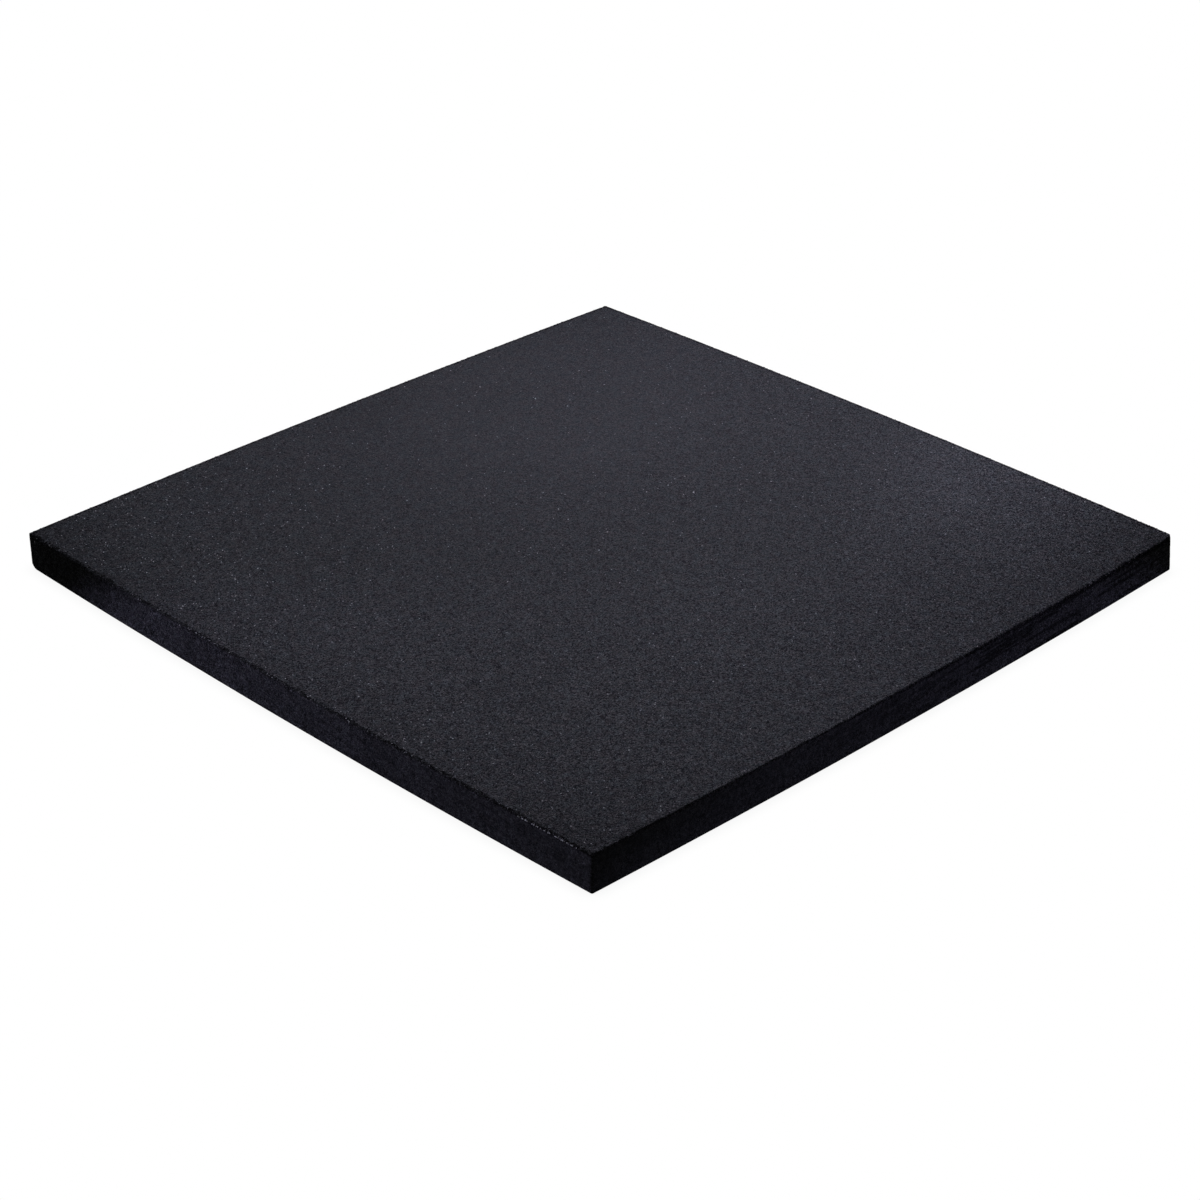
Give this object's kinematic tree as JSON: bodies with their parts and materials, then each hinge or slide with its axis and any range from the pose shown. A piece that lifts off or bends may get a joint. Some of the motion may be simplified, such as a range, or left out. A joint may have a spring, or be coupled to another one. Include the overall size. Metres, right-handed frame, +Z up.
{
  "type": "rubber stable mat",
  "caption": "Plain-edged square floor mat of pressed rubber crumb, laid edge to edge as cushioned stable flooring.",
  "frame": {"origin": "middle of the underside", "axes": "+Z up, out of the tread face; +X and +Y square to two neighbouring sides"},
  "size_m": [1.016, 1.016, 0.05],
  "materials": {
    "crumb_rubber": "matt, pressed granules"
  },
  "bodies": {
    "root": {"mat": "crumb_rubber"}
  },
  "joints": []
}
